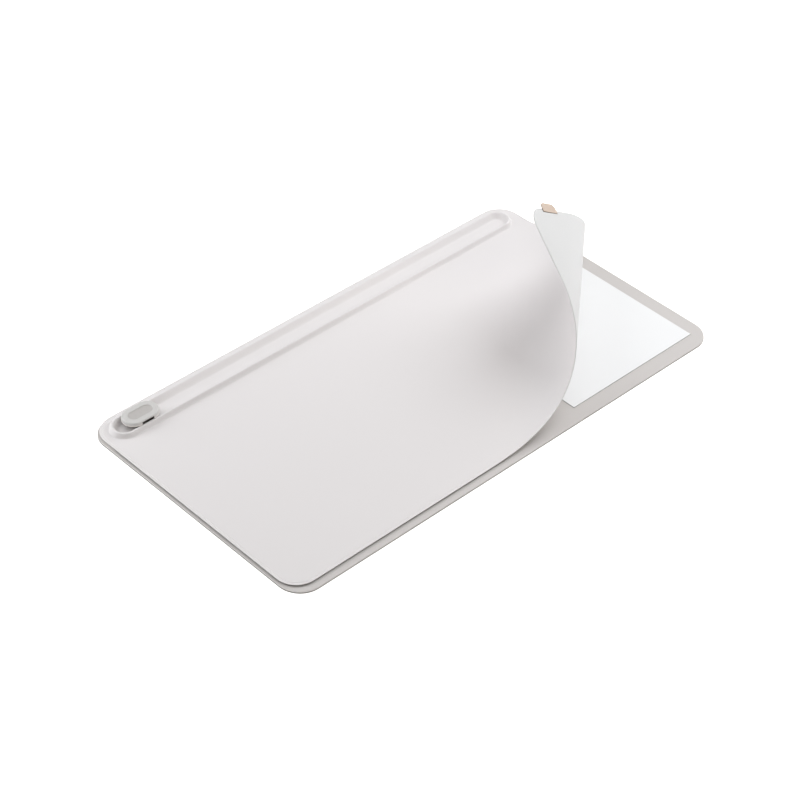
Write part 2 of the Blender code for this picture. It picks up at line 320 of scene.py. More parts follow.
def leather_finish(name, base, back, scale=1500.0, edge=None):
    """Smooth leather with a fine grain, cloudy tone and a burnished rim. Its paler tone towards the back is
    painted light, the darker pressed line is painted shade, and an edge colour, when given, darkens the rim
    as the pull tab's dark edge, partly painted shade.
    """
    made, tree, shader, where = new_finish(name, 0.52, uv=True, Specular_IOR_Level=0.42, Sheen_Weight=0.06)
    grain = place_group(tree, "Pebble grain", Vector=where, Scale=scale)
    cloud = place_group(tree, "Mottle", Vector=where, Scale=9.0)
    along = node(tree, "ShaderNodeSeparateXYZ", {"Vector": where}).outputs["Y"]
    paler = node(tree, "ShaderNodeMapRange",
                 {"Value": along, "From Min": PALER_FROM, "From Max": PALER_TO}).outputs[0]
    # Painted light: the leather is coloured paler from front to back.
    lit_towards_back = mix(tree, paler, base, back)
    clouded = mix(tree, cloud["Broad"], shade(base, 0.95), shade(back, 1.03))
    tone = mix(tree, 0.15, lit_towards_back, clouded)
    warmer = (base[0], base[1] * 0.97, base[2] * 0.95)
    warm = mix(tree, math(tree, "MULTIPLY", cloud["Fine"], 0.12), tone, warmer)
    pored = mix(tree, math(tree, "MULTIPLY", grain["Pore"], 0.12), warm, shade(base, 0.8))
    # The rim darkens: as wear on the leather, and on the pull tab with its edge colour, partly painted
    # shade.
    rim = place_group(tree, "Rim", Reach=0.5)
    worn = mix(tree, math(tree, "MULTIPLY", rim["Mask"], 0.9 if edge else 0.25), pored,
               edge or shade(base, 0.9))
    # The pressed line is painted darker, as shade in its shallow groove.
    pressed = node(tree, "ShaderNodeAttribute", attribute_name="pressed").outputs["Fac"]
    lined = mix(tree, math(tree, "MULTIPLY", pressed, 0.85), worn, shade(base, 0.72))
    tree.links.new(lined, shader.inputs["Base Color"])
    rough = spread(tree, cloud["Fine"], 0.46, 0.58)
    tree.links.new(rough, shader.inputs["Roughness"])
    bump(tree, shader, grain["Height"], 0.22, 0.00012)
    return made


def edge_finish(name, base):
    """The cut edge of a leather sheet in one colour, with the layers showing as faint lines. On the leaf
    that colour is painted shadow along the flat edges, and along the curled edge it is the edge's own pale
    tone made paler as painted light.
    """
    made, tree, shader, where = new_finish(name, 0.6)
    layers = place_group(tree, "Fibres", Vector=where, Scale=900.0)
    tone = mix(tree, layers["Fleck"], shade(base, 0.8), shade(base, 1.35))
    tree.links.new(tone, shader.inputs["Base Color"])
    bump(tree, shader, layers["Height"], 0.4, 0.0001)
    return made


def fibre_finish(name, base, scale, contrast, depth, roughness, uv=False, sheen=0.25):
    """Felt, lining or paper: fibres that lie across each other, with light and dark flecks."""
    made, tree, shader, where = new_finish(name, roughness, uv, Sheen_Weight=sheen, Specular_IOR_Level=0.2)
    fibres = place_group(tree, "Fibres", Vector=where, Scale=scale)
    cloud = place_group(tree, "Mottle", Vector=where, Scale=14.0)
    darker, lighter = shade(base, 1.0 - contrast), shade(base, 1.0 + contrast)
    tone = mix(tree, fibres["Fleck"], darker, lighter)
    speck = place_group(tree, "Mottle", Vector=where, Scale=scale / 9.0)
    flecked = math(tree, "ADD", math(tree, "MULTIPLY", cloud["Broad"], 0.3),
                   math(tree, "MULTIPLY", speck["Fine"], 0.7))
    toned = mix(tree, spread(tree, flecked, -1.8, 2.8), darker, lighter)
    tree.links.new(mix(tree, 0.5, tone, toned), shader.inputs["Base Color"])
    rough = spread(tree, fibres["Fleck"], roughness - 0.06, min(roughness + 0.05, 1.0))
    tree.links.new(rough, shader.inputs["Roughness"])
    bump(tree, shader, fibres["Height"], 0.5, depth)
    return made


def moulded_finish(name, base, roughness, scale=1600.0, depth=0.00004, **constants):
    """Moulded plastic, rubber or foam: an even tone with a fine cast texture."""
    made, tree, shader, where = new_finish(name, roughness, **constants)
    cloud = place_group(tree, "Mottle", Vector=where, Scale=scale / 9.0)
    tone = mix(tree, cloud["Broad"], shade(base, 0.96), shade(base, 1.04))
    tree.links.new(tone, shader.inputs["Base Color"])
    rough = spread(tree, cloud["Fine"], roughness - 0.05, roughness + 0.05)
    tree.links.new(rough, shader.inputs["Roughness"])
    bump(tree, shader, cloud["Fine"], 0.4, depth)
    return made


def make_finishes(leaf, base, holder):
    """Every finish of the mat.

    The frame already holds plain materials named leather, felt and paper. So Blender gives those three
    finishes other names, no piece wears them, and the pieces that ask for those names wear the plain ones.
    """
    make_groups()
    leather_finish("leather", tuple(leaf.leather), tuple(leaf.leather_back))
    leather_finish("tab leather", tuple(leaf.tab), tuple(leaf.tab), scale=1900.0, edge=tuple(leaf.tab_edge))
    # The flat leaf's cut edge and the lining's edge are painted near-black as shade; the curled cut edge is
    # painted light.
    edge_finish("leather edge", tuple(leaf.edge))
    edge_finish("tab cut edge", tuple(leaf.tab_edge))
    edge_finish("glue line", tuple(leaf.seam))
    edge_finish("leather edge worn", tuple(leaf.lit_curl_edge))
    fibre_finish("lining suede", tuple(leaf.lining), 700.0, 0.03, 0.00005, 0.8, uv=True, sheen=0.15)
    fibre_finish("felt", tuple(base.felt), 420.0, 0.34, 0.0009, 0.95, sheen=0.2)
    fibre_finish("foot felt", shade(tuple(base.felt), 0.35), 600.0, 0.1, 0.0002, 0.95)
    fibre_finish("paper", tuple(base.paper), 900.0, 0.012, 0.00003, 0.85, sheen=0.0)
    # The paper's side is painted near-black, as shadow under the sheet's edge.
    fibre_finish("paper edge", shade(tuple(base.paper), 0.05), 900.0, 0.2, 0.0001, 0.9, sheen=0.0)
    moulded_finish("anti-slip rubber", tuple(base.rubber), 0.8, 700.0, 0.0002)
    moulded_finish("holder cap", tuple(holder.cap), 0.42, 2200.0, 0.00003)
    moulded_finish("holder dish", tuple(holder.dish), 0.5, 2200.0, 0.00003)
    moulded_finish("holder lip", tuple(holder.lip), 0.45, 2200.0, 0.00003)
    moulded_finish("holder body", tuple(holder.body), 0.5, 2200.0, 0.00003)
    moulded_finish("slot lining", tuple(holder.slot), 0.7, 1500.0)
    moulded_finish("adhesive film", (0.72, 0.71, 0.68), 0.6, 400.0, 0.0001)
    moulded_finish("moulded foam", (0.50, 0.49, 0.47), 0.85, 2500.0, 0.0002)
    moulded_finish("keeper steel", (0.56, 0.56, 0.57), 0.35, 900.0, Metallic=1.0)
    moulded_finish("magnet nickel", (0.66, 0.65, 0.62), 0.22, 1200.0, Metallic=1.0)


# ----------------------------------------------------------
# Modelling tools
# ----------------------------------------------------------


def outline(x, y, corners, segments=24):
    """A flat face between limits, with its front and back corners rounded."""
    bm = bmesh.new()
    bmesh.ops.create_grid(bm, x_segments=1, y_segments=1, size=0.5)
    middle = Vector(((x[0] + x[1]) / 2, (y[0] + y[1]) / 2, 0.0))
    bmesh.ops.scale(bm, vec=(x[1] - x[0], y[1] - y[0], 1.0), verts=bm.verts)
    bmesh.ops.translate(bm, vec=middle, verts=bm.verts)
    for front, radius in zip((True, False), corners):
        if radius:
            picked = [v for v in bm.verts if (v.co.y < middle.y) == front]
            bmesh.ops.bevel(bm, geom=picked, offset=radius, offset_type="OFFSET", segments=segments,
                            profile=0.5, affect="VERTICES", material=-1)
    return bm


LINE_WIDTH = 0.6


def slab(x, y, corners, profile, thickness, rim_reach=1.5, segments=24, line_at=None):
    """A plate whose top follows (inset, height) points in from its edge; its side goes straight down."""
    bm = outline(x, y, corners, segments)
    rim = bm.verts.layers.float.new("rim")
    pressed = bm.verts.layers.float.new("pressed")
    face = bm.faces[:][0]
    if face.normal.z < 0:
        face.normal_flip()
    bmesh.ops.translate(bm, vec=(0.0, 0.0, profile[0][1]), verts=bm.verts)
    for vert in bm.verts:
        vert[rim] = 1.0
    for (inset, height), (next_inset, next_height) in zip(profile, profile[1:]):
        bmesh.ops.inset_region(bm, faces=[face], thickness=next_inset - inset, depth=next_height - height,
                               use_even_offset=True, use_boundary=True)
        for vert in face.verts:
            vert[rim] = max(0.0, 1.0 - next_inset / rim_reach)
            if line_at:
                vert[pressed] = exp(-((next_inset - line_at) / LINE_WIDTH) ** 2)
    border = [e for e in bm.edges if e.is_boundary]
    drop = bmesh.ops.extrude_edge_only(bm, edges=border)["geom"]
    lower = [g for g in drop if isinstance(g, bmesh.types.BMVert)]
    for vert in lower:
        vert.co.z = -thickness
        vert[rim] = 1.0
    sides = {f for v in lower for f in v.link_faces}
    for side in sides:
        side.material_index = 1
    below = [e for e in {e for v in lower for e in v.link_edges} if e.is_boundary]
    bmesh.ops.contextual_create(bm, geom=below)
    bmesh.ops.recalc_face_normals(bm, faces=bm.faces)
    return bm


def rounded_edge(radius, steps=4):
    """(inset, height) points of a quarter-round edge that ends on the top."""
    turns = [step * pi / 2 / steps for step in range(steps + 1)]
    return [(radius * (1 - cos(turn)), radius * (sin(turn) - 1)) for turn in turns]


def creased(radius, inset, depth, last=7.0, step=0.3):
    """A quarter-round edge, then a flat top with a pressed line and the faint ridge inside it."""
    points = rounded_edge(radius)
    at = radius
    while at < last:
        at += step
        line = depth * exp(-((at - inset) / LINE_WIDTH) ** 2)
        ridge = 0.25 * depth * exp(-((at - inset - 1.5) / 0.8) ** 2)
        points.append((at, ridge - line))
    return points[:-1] + [(last, 0.0), (last + 1.5, 0.0)]


def cut(bm, place, normal, inner=False):
    """Cut a mesh with a plane, clear what is behind it if asked, and give the edges of the cut."""
    found = bmesh.ops.bisect_plane(bm, geom=bm.verts[:] + bm.edges[:] + bm.faces[:], dist=1e-5,
                                   plane_co=place, plane_no=normal, clear_inner=inner)
    return [g for g in found["geom_cut"] if isinstance(g, bmesh.types.BMEdge)]


def keep_side(bm, place, normal):
    """Keep what lies on the side that the normal points to, and close the cut."""
    edges = cut(bm, place, normal, inner=True)
    if edges:
        bmesh.ops.contextual_create(bm, geom=edges)


def stadium_loop(bm, radius, z, half, segments):
    """A stadium-shaped ring of edges: a circle whose right and left halves are moved apart."""
    ring = bmesh.ops.create_circle(bm, cap_ends=False, segments=segments, radius=radius,
                                   matrix=Matrix.Rotation(pi / segments, 4, "Z"))["verts"]
    for vert in ring:
        vert.co.x += half if vert.co.x > 0 else -half
        vert.co.z = z
    return list({edge for vert in ring for edge in vert.link_edges})


def stadium_shell(bm, profile, half, segments):
    """Stadium rings along a (radius, height) profile, each drawn out of the one before."""
    loops = [stadium_loop(bm, profile[0][0], profile[0][1], half, segments)]
    for (radius, _), (next_radius, z) in zip(profile, profile[1:]):
        drawn = bmesh.ops.extrude_edge_only(bm, edges=loops[-1])["geom"]
        ring = {g for g in drawn if isinstance(g, bmesh.types.BMVert)}
        for vert in ring:
            end = half if vert.co.x > 0 else -half
            vert.co.x = end + (vert.co.x - end) * next_radius / radius
            vert.co.y *= next_radius / radius
            vert.co.z = z
        loops.append([g for g in drawn if isinstance(g, bmesh.types.BMEdge) and ring.issuperset(g.verts)])
    return loops


def moved_new(bm, before, offset):
    """Move the vertices that weren't there before."""
    bmesh.ops.translate(bm, vec=offset, verts=[v for v in bm.verts if v not in before])


def smoothed(points, rounds):
    """A line of points with its corners cut again and again; its ends stay."""
    points = [Vector(point) for point in points]
    for _ in range(rounds):
        softer = [points[0]]
        for here, there in zip(points, points[1:]):
            softer += [here.lerp(there, 0.25), here.lerp(there, 0.75)]
        points = softer + [points[-1]]
    return points


def finish_piece(name, bm, materials, normals=None, angle=40):
    """Turn a bmesh in millimetres into an object in metres with its materials."""
    bmesh.ops.scale(bm, vec=(MM, MM, MM), verts=bm.verts)
    mesh = bpy.data.meshes.new(name)
    bm.to_mesh(mesh)
    bm.free()
    mesh.shade_smooth()
    if normals is None:
        mesh.set_sharp_from_angle(angle=radians(angle))
    else:
        mesh.normals_split_custom_set_from_vertices(normals)
    for material in materials:
        mesh.materials.append(bpy.data.materials[material])
    obj = bpy.data.objects.new(name, mesh)
    bpy.context.scene.collection.objects.link(obj)
    return obj


def repaint(node_name, material):
    """Give a CAD node that stays in sight one of the finishes."""
    mesh = frame["nodes"][node_name].data
    mesh.materials.clear()
    mesh.materials.append(bpy.data.materials[material])


# ----------------------------------------------------------
# The leaf
# ----------------------------------------------------------


class Roll:
    """The leaf's rolled corner: arcs between the CAD's hinge lines, then a straight end."""

    def __init__(self, start):
        bends = [joint for joint in frame["joints"] if joint["name"].startswith("curl_")]
        hinges = [Vector(joint["pos_m"]) / MM for joint in bends]
        self.bodies = ["leaf"] + [joint["child"] for joint in bends]
        self.axis = -Vector(bends[0]["axis"])
        self.run = Vector((self.axis.y, -self.axis.x, 0.0))
        self.top = hinges[0].z
        spots = [Vector((hinge.dot(self.run), hinge.z - self.top)) for hinge in hinges]
        first = spots[1] - spots[0]
        self.step = atan2(first.y, first.x)
        self.flat, self.at, self.reach = [start], [Vector((start, 0.0))], []
        for number, spot in enumerate(spots):
            reach = (spot - self.at[-1]).length
            self.reach.append(reach)
            self.flat.append(self.flat[-1] + 2 * reach)
            self.at.append(spot + reach * self.heading(self.step * (number + 1)))

    @staticmethod
    def heading(angle):
        """The direction of travel at an angle, along the roll and up."""
        return Vector((cos(angle), sin(angle)))

    def along(self, point):
        """A flat point's distance along the roll."""
        return point.dot(self.run)

    def locate(self, distance):
        """Where a distance along the flat leaf comes to, and the leaf's slope there."""
        if distance <= self.flat[0]:
            return Vector((distance, 0.0)), 0.0
        for number, reach in enumerate(self.reach):
            if distance <= self.flat[number + 1]:
                angle = self.step * number
                turn = self.step * (distance - self.flat[number]) / (2 * reach)
                radius = reach / tan(self.step / 2)
                ahead, side = self.heading(angle), self.heading(angle + pi / 2)
                return self.at[number] + radius * (sin(turn) * ahead + (1 - cos(turn)) * side), angle + turn
        angle = self.step * len(self.reach)
        return self.at[-1] + (distance - self.flat[-1]) * self.heading(angle), angle

    def lay(self, flat, normal=None):
        """A flat point's place, and its normal, on the rolled leaf."""
        spot, angle = self.locate(self.along(flat))
        height = flat.z - self.top
        side = self.heading(angle + pi / 2)
        spot = spot + height * side
        rolled = self.run * spot.x + self.axis * flat.dot(self.axis) + UP * (self.top + spot.y)
        hold = max(0.0, min(1.0, (HOLD_Y - flat.y) / HOLD_FADE))
        hold = hold * hold * (3 - 2 * hold)
        turned = normal
        if normal is not None:
            turned = Matrix.Rotation(-angle, 3, self.axis) @ normal
        return flat.lerp(rolled, hold), turned

    def point(self, distance):
        """The row-frame point on the leather's top at a distance along the roll, in metres."""
        spot, _ = self.locate(distance)
        return (self.run * spot.x + UP * (self.top + spot.y)) * MM


LEAF_LOW, LEAF_HIGH = cad_box("leaf_skin")
LINING_LOW, LINING_HIGH = cad_box("leaf_lining")
COVER_LOW, COVER_HIGH = cad_box("tray_cover")
CORE_LOW, CORE_HIGH = cad_box("tray_core")
TRAY_Y = (CORE_LOW.y + CORE_HIGH.y) / 2
TRAY_HALF = (CORE_HIGH.x - CORE_LOW.x) / 2 - (CORE_HIGH.y - CORE_LOW.y) / 2
LIFT_FROM, LIFT_TO = 138.3, 132.5
HOLD_Y, HOLD_FADE = LIFT_FROM, 14.0
PANEL_END = 118.0
TRAY_PROFILE = (
    (20.6, 5.1), (19.9, 5.15), (19.1, 5.6), (18.2, 7.2), (17.5, 9.3), (16.8, 10.9), (15.9, 11.45),
    (15.0, 11.45), (14.2, 11.0), (13.1, 9.9), (11.6, 7.9), (10.3, 6.1), (9.1, 4.8), (8.1, 4.3), (6.8, 4.2),
)
TRAY_SEGMENTS = 96


def offset_profile(profile, distance):
    """The profile moved sideways, to its right as it is walked from the foot inwards."""
    shifted = []
    for k, (radius, z) in enumerate(profile):
        before, after = profile[max(k - 1, 0)], profile[min(k + 1, len(profile) - 1)]
        run = Vector((after[0] - before[0], after[1] - before[1])).normalized()
        shifted.append((radius + run.y * distance, z - run.x * distance))
    return shifted


def open_and_form(bm, top, profile):
    """Replace the flat face behind the hinge strip, at one height, by the formed tray."""
    picked = max((f for f in bm.faces if abs(f.calc_center_median().z - top) < 0.05
                  and f.calc_center_median().y > LIFT_FROM), key=lambda f: f.calc_area())
    border = list(picked.edges)
    bmesh.ops.delete(bm, geom=[picked], context="FACES_ONLY")
    before = set(bm.verts)
    loops = stadium_shell(bm, profile, TRAY_HALF, TRAY_SEGMENTS)
    bmesh.ops.contextual_create(bm, geom=loops[-1])
    moved_new(bm, before, (0.0, TRAY_Y, 0.0))
    bmesh.ops.triangle_fill(bm, use_beauty=True, edges=border + loops[0])


def whole_skin(settings):
    """The leather as one flat sheet, with the tray formed in it."""
    profile = creased(settings.skin_edge / MM, settings.crease_inset / MM, settings.crease_depth / MM)
    thickness = LEAF_HIGH.z - LEAF_LOW.z
    bm = slab((LEAF_LOW.x, LEAF_HIGH.x), (LEAF_LOW.y, COVER_HIGH.y),
              (settings.front_corner / MM, settings.back_corner / MM), profile, thickness,
              line_at=settings.crease_inset / MM)
    bmesh.ops.translate(bm, vec=(0.0, 0.0, LEAF_HIGH.z), verts=bm.verts)
    cut(bm, Vector((0.0, LIFT_FROM, 0.0)), Vector((0.0, 1.0, 0.0)))
    upper = smoothed(TRAY_PROFILE, 2)
    lower = offset_profile(smoothed(TRAY_PROFILE, 1), -thickness)
    lower[0] = (TRAY_PROFILE[0][0] - 0.2, LEAF_LOW.z)
    open_and_form(bm, LEAF_HIGH.z, upper)
    open_and_form(bm, LEAF_LOW.z, lower)
    bmesh.ops.recalc_face_normals(bm, faces=bm.faces)
    return bm


def whole_lining(settings):
    """The lining as one flat sheet, its good side down."""
    profile = creased(settings.lining_edge / MM, settings.crease_inset / MM, settings.crease_depth / MM / 2)
    thickness = LINING_HIGH.z - LINING_LOW.z
    corner = settings.front_corner / MM - (LINING_LOW.x - LEAF_LOW.x)
    bm = slab((LINING_LOW.x, LINING_HIGH.x), (LINING_LOW.y, LINING_HIGH.y), (corner, 0.0), profile,
              thickness)
    bmesh.ops.scale(bm, vec=(1.0, 1.0, -1.0), verts=bm.verts)
    bmesh.ops.reverse_faces(bm, faces=bm.faces)
    bmesh.ops.translate(bm, vec=(0.0, 0.0, LINING_LOW.z), verts=bm.verts)
    return bm


def lay_piece(name, whole, sides, rows, roll, materials):
    """Cut one piece out of a flat sheet, add its rows, lay it on the roll and finish it."""
    bm = whole.copy()
    normal_layer = bm.verts.layers.float_vector["flat normal"]
    for place, normal in sides:
        keep_side(bm, place, normal)
    for place, normal in rows:
        cut(bm, place, normal)
    uv = bm.loops.layers.uv.new("flat")
    for face in bm.faces:
        for loop in face.loops:
            loop[uv].uv = loop.vert.co.xy * MM
    normals = []
    for vert in bm.verts:
        vert.co, turned = roll.lay(vert.co.copy(), vert[normal_layer].normalized())
        normals.append(turned)
    bm.verts.layers.float_vector.remove(normal_layer)
    return finish_piece(name, bm, materials, normals)


def lay_sheet(label, whole, roll, rows_in_bend, materials, lifted):
    """All the pieces of one sheet of the leaf; the panel and the corner are hung on their bodies, and the
    pieces past the first bend take their own edge finish, on the leather a cut edge painted light.
    """
    bm = whole
    bm.normal_update()
    layer = bm.verts.layers.float_vector.new("flat normal")
    for vert in bm.verts:
        vert[layer] = vert.normal
    ahead, back = Vector((0.0, 1.0, 0.0)), Vector((0.0, -1.0, 0.0))
    hinge_from, hinge_to = Vector((0.0, LIFT_FROM, 0.0)), Vector((0.0, LIFT_TO, 0.0))

    def line(distance, way=1):
        return roll.run * distance, roll.run * way

    def row(low, high, count):
        return [line(low + (high - low) * k / count) for k in range(1, count)]

    pieces = []
    early = [line(roll.flat[0])] + row(roll.flat[0], PANEL_END, 4)
    lift_rows = [(hinge_to.lerp(hinge_from, k / 8), ahead) for k in range(1, 8)]
    strip = lay_piece(f"{label}_lift_strip", bm, [(hinge_to, ahead), (hinge_from, back)],
                      lift_rows + early + [line(PANEL_END)], roll, materials)
    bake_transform(strip)
    pieces.append(strip)
    panel = lay_piece(f"{label}_panel", bm, [(hinge_to, back), line(PANEL_END, -1)], early, roll, materials)
    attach(panel, "leaf")
    pieces.append(panel)
    for number, (low, high) in enumerate(zip(roll.flat, roll.flat[1:])):
        low = max(low, PANEL_END)
        cuts = [(hinge_to, back), line(low), line(high, -1)]
        # Past the first bend the cut edge takes its painted-light finish.
        piece = lay_piece(f"{label}_bend_{number + 1:02d}", bm, cuts, row(low, high, rows_in_bend), roll,
                          lifted if number else materials)
        roll.point(low)
        roll.point(high)
        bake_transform(piece)
        pieces.append(piece)
    tail = lay_piece(f"{label}_corner", bm, [line(roll.flat[-1])], [], roll, lifted)
    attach(tail, roll.bodies[-1])
    pieces.append(tail)
    return pieces


def leaf_nodes(layer, count):
    """The CAD nodes of one layer of the leaf."""
    return [f"leaf_{layer}"] + [f"curl_{layer}_{k:02d}" for k in range(1, count + 1)]


class DESKMAT_OT_leather(Operator):
    """Lay the leather: the tray cover, the panel and the rolled corner"""

    bl_idname = "desk_mat.leather"
    bl_label = "Leather"

    def execute(self, context):
        settings = context.scene.desk_mat_leaf
        roll = Roll(settings.roll_start / MM)
        whole = whole_skin(settings)
        # The flat pieces' cut edge is painted near-black as the shadow in the gap under it; past the first
        # bend the cut edge is painted light.
        materials = ("leather", "leather edge")
        lifted = ("leather", "leather edge worn")
        pieces = lay_sheet("leather", whole, roll, settings.rows, materials, lifted)
        behind = (Vector((0.0, LIFT_FROM, 0.0)), Vector((0.0, 1.0, 0.0)))
        cover = lay_piece("tray_cover_formed", whole, [behind], [], roll, materials)
        whole.free()
        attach(cover, "mat")
        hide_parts("tray_cover")
        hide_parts(*leaf_nodes("skin", len(roll.reach)))
        return {"FINISHED"}


class DESKMAT_OT_lining(Operator):
    """Lay the lining under the leather"""

    bl_idname = "desk_mat.lining"
    bl_label = "Lining"

    def execute(self, context):
        settings = context.scene.desk_mat_leaf
        roll = Roll(settings.roll_start / MM)
        whole = whole_lining(settings)
        # The flat lining pieces' edge is painted near-black as shade in the gap under the leaf; the curled
        # pieces keep the suede there.
        pieces = lay_sheet("lining", whole, roll, settings.rows, ("lining suede", "glue line"),
                           ("lining suede", "lining suede"))
        whole.free()
        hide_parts(*leaf_nodes("lining", len(roll.reach)))
        return {"FINISHED"}


TAB_X, TAB_Y, TAB_Z = (337.6, 350.6), (-147.0, -116.0), (2.62, 3.42)
TAB_CORNER = 7.0


class DESKMAT_OT_tab(Operator):
    """Make the pull tab on the leaf's edge"""

    bl_idname = "desk_mat.tab"
    bl_label = "Pull tab"

    def execute(self, context):
        settings = context.scene.desk_mat_leaf
        roll = Roll(settings.roll_start / MM)
        thickness = TAB_Z[1] - TAB_Z[0]
        # The tab is modelled end on and turned, so that its rounded corners come to the outside.
        wide, deep = TAB_Y[1] - TAB_Y[0], TAB_X[1] - TAB_X[0]
        bm = slab((-wide / 2, wide / 2), (-deep / 2, deep / 2), (TAB_CORNER, 0.0), rounded_edge(0.3) + [
            (0.9, 0.0), (1.3, -0.08), (1.7, 0.0), (2.4, 0.0)], thickness, rim_reach=0.6, segments=12)
        bmesh.ops.scale(bm, vec=(1.0, 1.0, -1.0), verts=bm.verts)
        bmesh.ops.reverse_faces(bm, faces=bm.faces)
        middle = Vector((sum(TAB_X) / 2, sum(TAB_Y) / 2, TAB_Z[0]))
        bmesh.ops.transform(bm, matrix=Matrix.Translation(middle) @ Matrix.Rotation(pi / 2, 4, "Z"),
                            verts=bm.verts)
        uv = bm.loops.layers.uv.new("flat")
        for face in bm.faces:
            for loop in face.loops:
                loop[uv].uv = loop.vert.co.xy * MM
        for vert in bm.verts:
            vert.co, _ = roll.lay(vert.co.copy())
        tab = finish_piece("pull_tab_leather", bm, ("tab leather", "tab cut edge"))
        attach(tab, roll.bodies[-1])
        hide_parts("pull_tab")
        return {"FINISHED"}


# ----------------------------------------------------------
# Base, paper and hidden parts
# ----------------------------------------------------------


class DESKMAT_OT_base(Operator):
    """Make the felt base and the anti-slip sheet under it"""

    bl_idname = "desk_mat.base"
    bl_label = "Base"

    def execute(self, context):
        settings = context.scene.desk_mat_base
        corner = settings.corner / MM
        for name, node_name, edge, material, slot, rests in (
            ("felt_base", "base_felt", settings.felt_edge / MM, "felt", "felt", "anti_slip_base"),
            ("anti_slip_base", "anti_slip_sheet", 0.15, "anti-slip rubber", "rubber", "floor"),
        ):
            low, high = cad_box(node_name)
            profile = rounded_edge(edge) + [(edge + 1.0, 0.0)]
            # The anti-slip sheet's side rises to the sole height over the felt's foot, as painted shade
            # along the base's lowest edge.
            if name == "felt_base":
                low.z = settings.sole / MM
            else:
                high.z = settings.sole / MM
            bm = slab((low.x, high.x), (low.y, high.y), (corner, corner), profile, high.z - low.z,
                      segments=32)
            bmesh.ops.translate(bm, vec=(0.0, 0.0, high.z), verts=bm.verts)
            piece = finish_piece(name, bm, (material, material))
            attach(piece, "mat")
            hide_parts(node_name)
        for node_name, material in (("bond_strip", "adhesive film"), ("tray_core", "moulded foam"),
                                    ("keeper_plate_left", "keeper steel"),
                                    ("keeper_plate_right", "keeper steel")):
            repaint(node_name, material)
        return {"FINISHED"}


class DESKMAT_OT_paper(Operator):
    """Lay the sheet of paper in the pocket"""

    bl_idname = "desk_mat.paper"
    bl_label = "Paper"

    def execute(self, context):
        low, high = cad_box("paper_sheets")
        # The sheet's side reaches down to the felt, so that its painted shadow fills the gap under the edge.
        low.z = cad_box("base_felt")[1].z + 0.05
        bm = slab((low.x, high.x), (low.y, high.y), (0.0, 0.0), [(0.0, 0.0), (0.6, 0.0)], high.z - low.z)
        bmesh.ops.translate(bm, vec=(0.0, 0.0, high.z), verts=bm.verts)
        piece = finish_piece("paper", bm, ("paper", "paper edge"))
        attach(piece, "paper")
        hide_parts("paper_sheets")
        return {"FINISHED"}


# ----------------------------------------------------------
# Cable holder
# ----------------------------------------------------------

CAP_PROFILE = (
    (14.6, 11.75), (15.2, 11.85), (15.6, 12.3), (15.6, 13.1), (15.25, 13.5), (15.15, 13.9), (15.1, 15.2),
    (14.7, 16.4), (13.6, 17.15), (12.4, 17.2), (8.4, 17.2), (7.6, 17.1), (7.0, 16.4), (6.2, 16.0),
    (4.6, 15.95),
)
BODY_PROFILE = (
    (7.4, 5.25), (8.4, 5.3), (9.4, 5.8), (10.6, 7.7), (11.8, 9.7), (12.5, 10.9), (12.3, 11.3), (11.6, 11.35),
)
FOOT_PROFILE = ((7.0, 4.55), (7.6, 4.6), (7.7, 4.8), (7.6, 5.05), (7.0, 5.1))
HOLDER_HALF = 9.2
SLOT_HALF, SLOT_TOP = 8.6, 15.4
DISH_REACH, LIP_TOP = 7.6, 13.4


def holder_shell(profile, rounds, segments):
    """A closed body on stadium rings, its middle at the origin."""
    bm = bmesh.new()
    loops = stadium_shell(bm, smoothed(profile, rounds) if rounds else profile, HOLDER_HALF, segments)
    for loop in (loops[0], loops[-1]):
        bmesh.ops.contextual_create(bm, geom=loop)
    bmesh.ops.recalc_face_normals(bm, faces=bm.faces)
    return bm


def open_slot(bm):
    """Cut the cable slot through the cap: a notch front and back, and a tunnel between."""
    cut(bm, Vector((SLOT_HALF, 0.0, 0.0)), Vector((1.0, 0.0, 0.0)))
    cut(bm, Vector((-SLOT_HALF, 0.0, 0.0)), Vector((1.0, 0.0, 0.0)))
    cut(bm, Vector((0.0, 0.0, SLOT_TOP)), UP)
    inside = []
    for face in bm.faces:
        middle = face.calc_center_median()
        if abs(middle.x) < SLOT_HALF and middle.z < SLOT_TOP:
            inside.append(face)
    bmesh.ops.delete(bm, geom=inside, context="FACES")
    border = [e for e in bm.edges if e.is_boundary]

    def level(edge):
        return all(abs(v.co.z - SLOT_TOP) < 1e-3 for v in edge.verts)

    ceiling = [e for e in border if level(e)]
    made = bmesh.ops.bridge_loops(bm, edges=ceiling)["faces"]
    for side in (-1, 1):
        wall = [e for e in bm.edges if e.is_boundary and all(abs(v.co.x - side * SLOT_HALF) < 1e-3
                                                             for v in e.verts)]
        made += bmesh.ops.contextual_create(bm, geom=wall)["faces"]
    for face in bm.faces:
        middle = face.calc_center_median()
        reach = hypot(max(abs(middle.x) - HOLDER_HALF, 0.0), middle.y)
        # The dish faces take the dish's painted shade.
        if reach < DISH_REACH and middle.z > SLOT_TOP:
            face.material_index = 2
        elif middle.z < LIP_TOP:
            face.material_index = 3
    # The slot's ceiling and walls are painted near-black as shade.
    for face in made:
        face.material_index = 1
    bmesh.ops.recalc_face_normals(bm, faces=bm.faces)
    return bm


